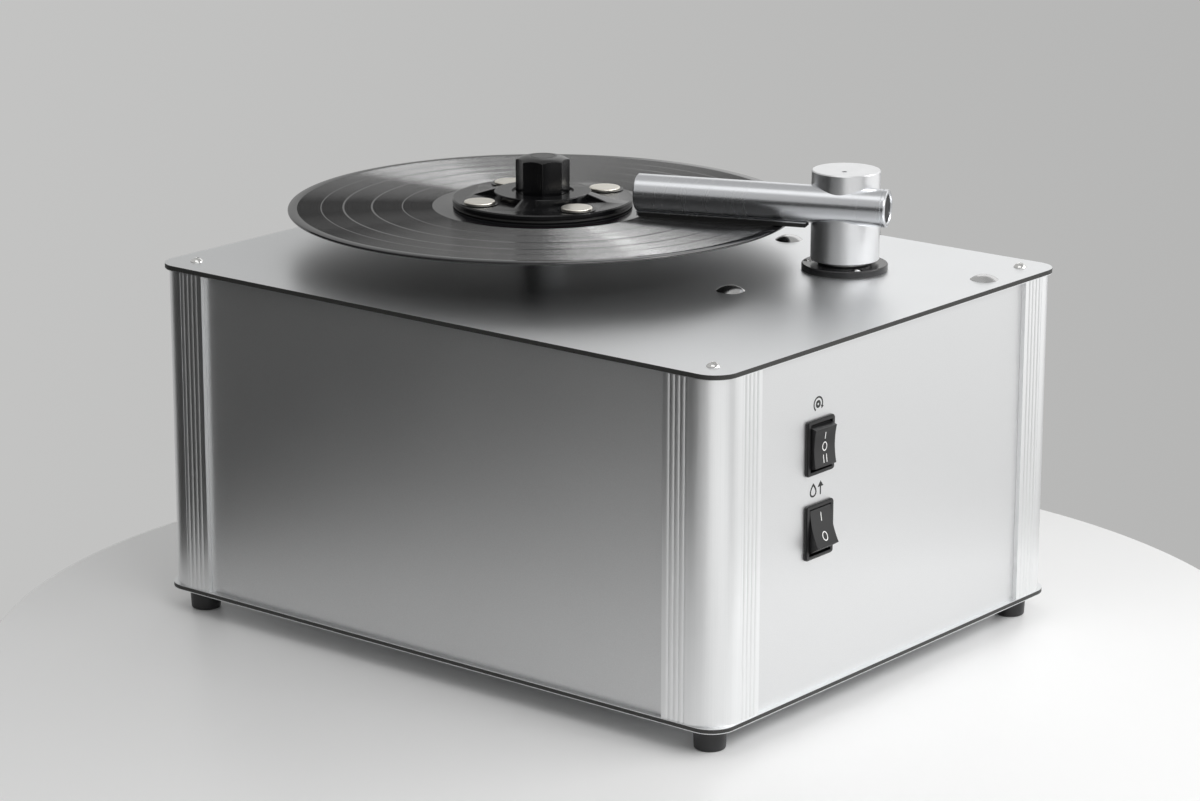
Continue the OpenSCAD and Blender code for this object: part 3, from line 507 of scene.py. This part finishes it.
# Marks on the rockers: the usual strokes and rings for on and off, in white ink that
# follows the dished face. Each print is a thin closed skin.
print_white = Finish("print_white", slot="switch_plastic",
                     Base_Color=(0.86, 0.86, 0.85, 1), Roughness=0.45)
ink_wear = print_white.noise(print_white.place(), 3000, 2)
print_white.feed("Base Color", print_white.blend(ink_wear, (0.74, 0.74, 0.73), (0.9, 0.9, 0.89)))
rocker_axis = np.array([0.2010, -0.0715])
motor_rocker_height, motor_rocker_rest = 0.155, 0
vacuum_rocker_height, vacuum_rocker_rest = 0.1075, -16
dish_radius = 0.0483
dish_bottom = 0.0075
ink_bottom, ink_top = 0.000005, 0.00003


def oval(width, height, middle=(0, 0)):
    """An outline (across, up) of an ellipse about its middle."""
    turn = np.linspace(0, 2 * np.pi, 48, endpoint=False)
    return np.stack([
        middle[0] + width / 2 * np.cos(turn), middle[1] + height / 2 * np.sin(turn),
    ], 1)


def squared(value):
    """A cosine or sine pushed towards its ends, which squares an ellipse off."""
    return np.sign(value) * np.abs(value) ** 0.25


def bar(width, height, middle):
    """An outline of an upright bar with short rounded ends: a squared-off ellipse."""
    turn = np.linspace(0, 2 * np.pi, 24, endpoint=False)
    return np.stack([
        middle[0] + width / 2 * squared(np.cos(turn)),
        middle[1] + height / 2 * squared(np.sin(turn)),
    ], 1)


def printed(name, shapes, onto, finish, body):
    """Ink shapes as one piece. A shape is an outline, or an outline with a hole's outline.

    onto(outline, lift) carries points (across, up) onto the surface and lifts them off.
    """
    points, faces = [], []
    for shape in shapes:
        first = sum(map(len, points))
        if isinstance(shape, tuple):
            outer, inner = shape
            rings = [(outer, ink_bottom), (outer, ink_top), (inner, ink_top), (inner, ink_bottom)]
            made = grid_faces(4, len(outer), joined=True)
        else:
            count = len(shape)
            rings = [(shape, ink_bottom), (shape, ink_top)]
            made = grid_faces(2, count)
            made += [list(range(count))[::-1], list(range(count, 2 * count))]
        points += [onto(outline, lift) for outline, lift in rings]
        faces += [[first + corner for corner in face] for face in made]
    piece = placed_mesh(name, np.concatenate(points), faces, finish, smooth=False)
    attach(piece, body)


def on_rocker(height, tilt):
    """Carries a print onto a rocker: onto the hollow arc of its face, then round its pivot."""
    lean = math.radians(tilt)

    def onto(outline, lift):
        arc = dish_radius - np.sqrt(dish_radius ** 2 - outline[:, 1] ** 2)
        outward = dish_bottom + arc + lift
        return np.stack([
            rocker_axis[0] + outward * math.cos(lean) + outline[:, 1] * math.sin(lean),
            rocker_axis[1] + outline[:, 0],
            height - outward * math.sin(lean) + outline[:, 1] * math.cos(lean),
        ], 1)

    return onto


stroke_width = 0.0006
printed("motor_marks", [
    bar(stroke_width, 0.0040, (0, 0.0064)),
    (oval(0.0044, 0.0052, (0, 0.0002)), oval(0.0032, 0.0040, (0, 0.0002))),
    bar(stroke_width, 0.0046, (-0.0014, -0.0065)), bar(stroke_width, 0.0046, (0.0014, -0.0065)),
], on_rocker(motor_rocker_height, motor_rocker_rest), print_white, "motor_rocker")
printed("vacuum_marks", [
    bar(stroke_width, 0.0050, (0, 0.0059)),
    (oval(0.0046, 0.0054, (0, -0.0051)), oval(0.0034, 0.0042, (0, -0.0051))),
], on_rocker(vacuum_rocker_height, vacuum_rocker_rest), print_white, "vacuum_rocker")

# Signs over the switches: a turning record and a drawn-up drop, printed in black on
# the side panel in place of words.
print_black = Finish("print_black", slot="panel_metal",
                     Base_Color=(0.012, 0.012, 0.012, 1), Roughness=0.5)
print_black.feed("Roughness", print_black.noise(print_black.place(), 2500) * 0.15 + 0.42)
panel_face = 0.2045
signs_middle = -0.0725
motor_sign_height, vacuum_sign_height = 0.1783, 0.1306


def on_panel(height):
    """Carries a print onto the right panel, its middle at the given height."""

    def onto(outline, lift):
        return np.stack([
            np.full(len(outline), panel_face + lift),
            signs_middle + outline[:, 0],
            height + outline[:, 1],
        ], 1)

    return onto


def arc_band(radius, stroke, start, end):
    """An outline that goes out along an arc's outer side and back along its inner side."""
    turn = np.radians(np.linspace(start, end, 40))
    reach = np.repeat([radius + stroke / 2, radius - stroke / 2], len(turn))
    turn = np.concatenate([turn, turn[::-1]])
    return np.stack([reach * np.cos(turn), reach * np.sin(turn)], 1)


def drop(width, height, middle):
    """An outline of a drop: a circle whose width narrows to nothing towards the top."""
    turn = np.linspace(-np.pi / 2, 1.5 * np.pi, 48, endpoint=False)
    rise = (1 + np.sin(turn)) / 2
    return np.stack([
        middle[0] + width / 2 * np.cos(turn) * (1 - rise) ** 0.5 * 1.55,
        middle[1] + height * (rise - 0.5),
    ], 1)


printed("motor_sign", [
    (oval(0.0044, 0.0044), oval(0.0014, 0.0014)),
    arc_band(0.0039, 0.0010, -20, 235),
    np.array([[0.0031, -0.0031], [0.0050, -0.0018], [0.0024, -0.0008]]),
], on_panel(motor_sign_height), print_black, "cabinet")
printed("vacuum_sign", [
    (drop(0.0052, 0.0080, (-0.0034, 0)), drop(0.0033, 0.0052, (-0.0034, -0.0004))),
    bar(0.0011, 0.0052, (0.0033, -0.0012)),
    np.array([[0.0006, 0.0008], [0.0060, 0.0008], [0.0033, 0.0041]]),
], on_panel(vacuum_sign_height), print_black, "cabinet")

# Contacts: tinned brass, as the inlet's three pins and the blades behind the switches,
# slightly dulled by handling.
contact_metal = Finish("contact_metal",
                       Base_Color=(0.78, 0.72, 0.55, 1), Metallic=1.0, Roughness=0.28)
contact_metal.feed("Roughness", contact_metal.noise(contact_metal.place(), 900) * 0.2 + 0.2)
contact_metal.dress("inlet_pins", "switch_terminals")

# Arm pivot: a black anodised collar and neck, a black bearing bush between them, and
# matt black plugs in the ends of the arm's tube.
black_metal = Finish("black_metal",
                     Base_Color=(0.012, 0.012, 0.013, 1), Roughness=0.24, Metallic=0.0)
black_haze = black_metal.noise(black_metal.place(), 1100, 2)
black_metal.feed("Roughness", black_haze * 0.12 + 0.18)
black_metal.dress("arm_neck")
eased("pivot_collar", "arm_collar", black_metal, 0.0002)

bush_plastic = Finish("bush_plastic", Base_Color=(0.015, 0.015, 0.016, 1), Roughness=0.4)
bush_plastic.feed("Roughness", bush_plastic.noise(bush_plastic.place(), 1300) * 0.15 + 0.34)
bush_plastic.dress("pivot_bush")

plug_plastic = Finish("plug_plastic", slot="bush_plastic",
                      Base_Color=(0.006, 0.006, 0.006, 1), Roughness=0.5, IOR=1.35)
plug_plastic.feed("Roughness", plug_plastic.noise(plug_plastic.place(), 900) * 0.15 + 0.45)
plug_plastic.dress("arm_plugs")

# Column and tube: aluminium bar turned on a lathe, so very fine lines run round each.
# The column stands upright, and the tube lies along the arm, turned about +Z.
arm_angle = math.radians(201.7)
turned_upright = Finish("turned_upright", slot="turned_metal",
                        Base_Color=(0.77, 0.775, 0.785, 1), Metallic=1.0, Roughness=0.2)
column_rings = turned_upright.noise(turned_upright.place(stretch=(0.02, 0.02, 1)), 5200, 2)
column_patches = turned_upright.noise(turned_upright.place(stretch=(1, 1, 0.3)), 260, 2)
turned_upright.feed("Roughness", column_rings * 0.1 + column_patches * 0.1 + 0.22)
turned_upright.bump(column_rings, 0.000008)
turned_upright.dress("bearing_housing", "platter_hub", "arm_column")

turned_tube = Finish("turned_tube", slot="turned_metal",
                     Base_Color=(0.70, 0.712, 0.735, 1), Metallic=1.0, Roughness=0.2)
along_tube = turned_tube.place(turn=(0, 0, -arm_angle), stretch=(1, 0.02, 0.02))
tube_rings = turned_tube.noise(along_tube, 4200, 2)
tube_bands = turned_tube.noise(along_tube, 190, 2)
turned_tube.feed("Roughness", tube_rings * 0.05 + tube_bands * 0.05 + 0.21)
turned_tube.bump(tube_rings, 0.000002)
turned_tube.dress("arm_tube")
eased("strip_carrier", "lip_carrier", turned_tube, 0.00012)

# Suction lips and seals: soft black rubber with a matt skin, which also makes the
# platter's mat and the tank's gasket.
seal_rubber = Finish("seal_rubber", Base_Color=(0.01, 0.01, 0.01, 1), Roughness=0.5)
seal_grain = seal_rubber.noise(seal_rubber.place(), 1500, 3)
seal_rubber.feed("Roughness", seal_grain * 0.25 + 0.35)
seal_rubber.bump(seal_grain, 0.00002)
seal_rubber.dress("platter_mat", "tank_gasket")
eased("lips", "suction_lips", seal_rubber, 0.0002)
eased("rim_seal", "clamp_seal", seal_rubber, 0.0002)

# Turntable: a moulded black platter on an aluminium hub, in bronze bushes, and the
# brass insert that takes the spindle's thread in the clamp's knob.
platter_plastic = Finish("platter_plastic", Base_Color=(0.03, 0.03, 0.031, 1), Roughness=0.45)
platter_plastic.feed(
    "Roughness", platter_plastic.noise(platter_plastic.place(), 700) * 0.15 + 0.38)
platter_plastic.dress("platter")

bronze_metal = Finish("bronze_metal", Base_Color=(0.6, 0.42, 0.22, 1), Metallic=1.0, Roughness=0.4)
bronze_metal.feed("Roughness", bronze_metal.noise(bronze_metal.place(), 900) * 0.2 + 0.3)
bronze_metal.dress("bearing_bushes")

brass_metal = Finish("brass_metal", Base_Color=(0.74, 0.57, 0.3, 1), Metallic=1.0, Roughness=0.25)
brass_metal.feed("Roughness", brass_metal.noise(brass_metal.place(), 900) * 0.15 + 0.18)
brass_metal.dress("clamp_insert")

# Record: black vinyl, pressed. The fine grooves run round the spindle, so their walls
# tip the surface inwards and outwards only, and light comes back in two wedges.
spindle_axis = np.array([-0.0575, 0.010])
record_level = 0.238
groove_pitch = 0.00034
gaps = ((0.0832, 0.0002), (0.1012, 0.0004), (0.1180, 0.0004), (0.1312, 0.0002))
gap_sharpness = 4000
vinyl = Finish("vinyl", Base_Color=(0.006, 0.006, 0.007, 1), Roughness=0.12, IOR=1.6)
vinyl.feed("Roughness", vinyl.noise(vinyl.place(), 600, 2) * 0.05 + 0.1)

# The steep walls send light back more strongly than a flat face, hence the high index.
grooved = Finish("grooved_vinyl", slot="vinyl",
                 Base_Color=(0.006, 0.006, 0.007, 1), Roughness=0.25, IOR=3.4)
groove_x = grooved.node("ShaderNodeSeparateXYZ", {}, {
    "Vector": grooved.place(move=(-spindle_axis[0], -spindle_axis[1], 0)),
})
groove_y = Value(grooved.tree, groove_x.socket.node.outputs["Y"])
groove_r = (groove_x * groove_x + groove_y * groove_y) ** 0.5


def ring_noise(scale, detail):
    """Noise that changes with the distance from the spindle only."""
    return grooved.node("ShaderNodeTexNoise", {"noise_dimensions": "1D"},
                        {"W": groove_r, "Scale": scale, "Detail": detail})


# cut_share is 1 where grooves are cut and 0 in the gaps between the tracks. The walls'
# slope follows a sine of the radius, limited to a flank each way.
groove_depth = ring_noise(1100, 2) * 0.3 + ring_noise(140, 1) * 0.2 + 1.45
cut_share = 1
for gap_radius, gap_half in gaps:
    beside_gap = ((groove_r - gap_radius).math("ABSOLUTE") - gap_half) * gap_sharpness
    cut_share = beside_gap.limited(0, 1) * cut_share
groove_wave = (groove_r * (2 * math.pi / groove_pitch)).math("SINE") * 3
groove_tip = groove_wave.limited(-1, 1) * (groove_depth * cut_share)
tipped = grooved.node("ShaderNodeCombineXYZ", {}, {
    "X": groove_x / groove_r * groove_tip, "Y": groove_y / groove_r * groove_tip, "Z": 1,
})
tipped_unit = grooved.node("ShaderNodeVectorMath", {"operation": "NORMALIZE"}, {0: tipped})
groove_normal = grooved.node(
    "ShaderNodeVectorTransform",
    {"vector_type": "NORMAL", "convert_from": "OBJECT", "convert_to": "WORLD"},
    {"Vector": tipped_unit})
grooved.feed("Normal", groove_normal)

# A wall seen edge-on hides behind the next one, so there a plain dark face takes over: painted
# shade for the grooves' own shadowing, a little stronger or weaker from ring to ring.
edge_on = grooved.node(
    "ShaderNodeLayerWeight", {}, {"Blend": 0.5, "Normal": groove_normal}, output="Facing")
groove_shade_share = (edge_on * (ring_noise(2400, 2) * 0.5 + 0.62)).limited(0, 0.95)
painted_groove_shade = grooved.node("ShaderNodeBsdfDiffuse", {}, {"Color": (0.004, 0.004, 0.004, 1)})
cut_face = grooved.node("ShaderNodeMixShader", {}, {
    0: groove_shade_share, 1: Value(grooved.tree, grooved.shader.outputs[0]), 2: painted_groove_shade,
})
plain_gap = grooved.node("ShaderNodeBsdfPrincipled", {}, {
    "Base Color": (0.006, 0.006, 0.007, 1), "Roughness": 0.14, "IOR": 1.6,
})
grooved.node("ShaderNodeMixShader", {}, {0: cut_share, 1: plain_gap, 2: cut_face}).plug(
    grooved.tree.nodes["Material Output"].inputs["Surface"])

under_grooves = Finish("under_grooves", slot="vinyl",
                       Base_Color=(0.004, 0.004, 0.0045, 1), Roughness=0.6, IOR=1.3)
under_grooves.feed(
    "Roughness", under_grooves.noise(under_grooves.place(), 600, 2) * 0.1 + 0.55)

# The section, in millimetres from the axis and from the top: hole, label area, the
# sunk playing area, the lead-in's slope, the rim bead, and the same below.
record_profile = np.array([
    (3.62, -1.9), (3.62, -0.1), (3.72, 0), (50.8, 0), (51.6, -0.15), (65.5, -0.15),
    (145.3, -0.15), (146.6, -0.01), (149.4, 0), (150.5, -0.25), (150.85, -0.7), (150.9, -1),
    (150.85, -1.3), (150.5, -1.75), (149.4, -2), (146.6, -1.99), (145.3, -1.85), (51.6, -1.85),
    (50.8, -2), (3.72, -2),
]) / 1000 + (0, record_level)
playing_row, under_row = 5, 16
record_turn = np.linspace(2 * np.pi, 0, 360, endpoint=False)
record_disc = placed_mesh(
    "pressed_record", turned(record_profile, record_turn, spindle_axis),
    grid_faces(len(record_profile), len(record_turn), joined=True), vinyl)
record_disc.data.materials.append(grooved.material)
record_disc.data.materials.append(under_grooves.material)
record_bands = np.zeros((len(record_profile), len(record_turn)), int)
record_bands[playing_row] = 1
record_bands[under_row] = 2
record_disc.data.polygons.foreach_set("material_index", record_bands.ravel())
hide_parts("record")
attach(record_disc, "turntable")

# Clamp: a black moulded disc and knob with a satin face, and nickelled steel weights.
# The knob's blunt corners are rounded with a finer bevel.
clamp_plastic = Finish("clamp_plastic",
                       Base_Color=(0.004, 0.004, 0.0045, 1), Roughness=0.2, IOR=1.42)
clamp_grain = clamp_plastic.noise(clamp_plastic.place(), 2000, 2)
clamp_plastic.feed("Roughness", clamp_grain * 0.1 + 0.16)
clamp_plastic.bump(clamp_grain, 0.000008)
eased("clamp_plate", "clamp_disc", clamp_plastic, 0.00035)
eased("clamp_grip", "clamp_knob", clamp_plastic, 0.0004, angle=18, segments=3)

nickel_steel = Finish("nickel_steel", Base_Color=(0.80, 0.77, 0.70, 1), Metallic=1.0, Roughness=0.3)
nickel_haze = nickel_steel.noise(nickel_steel.place(), 900, 3)
nickel_steel.feed("Roughness", nickel_haze * 0.2 + 0.22)
eased("weight_discs", "clamp_weights", nickel_steel, 0.0003)

# Tank and lid: natural white plastic, semi-matt, and inside the cabinet like the hose,
# the motors and the fan below.
tank_plastic = Finish("tank_plastic", Base_Color=(0.8, 0.81, 0.78, 1), Roughness=0.45)
tank_plastic.feed("Roughness", tank_plastic.noise(tank_plastic.place(), 300) * 0.15 + 0.38)
tank_plastic.dress("fluid_tank", "tank_lid")

# Hose: dark grey smooth rubber between tank and fan, a fixed pipe with one bend, with
# the faint dullness of a moulded skin.
hose_rubber = Finish("hose_rubber", Base_Color=(0.05, 0.052, 0.056, 1), Roughness=0.5)
hose_rubber.feed("Roughness", hose_rubber.noise(hose_rubber.place(), 500) * 0.2 + 0.4)
hose_rubber.dress("vacuum_hose")

# Motors and fan: cans in grey satin paint, and the fan's housing and impeller in
# pressed aluminium sheet.
motor_paint = Finish("motor_paint", Base_Color=(0.2, 0.205, 0.21, 1), Roughness=0.4)
motor_paint.feed("Roughness", motor_paint.noise(motor_paint.place(), 600) * 0.15 + 0.34)
motor_paint.dress("gear_motor", "vacuum_motor")

fan_sheet = Finish("fan_sheet", Base_Color=(0.72, 0.74, 0.76, 1), Metallic=1.0, Roughness=0.35)
fan_sheet.feed("Roughness", fan_sheet.noise(fan_sheet.place(), 500) * 0.15 + 0.28)
fan_sheet.dress("fan_housing", "fan_impeller")
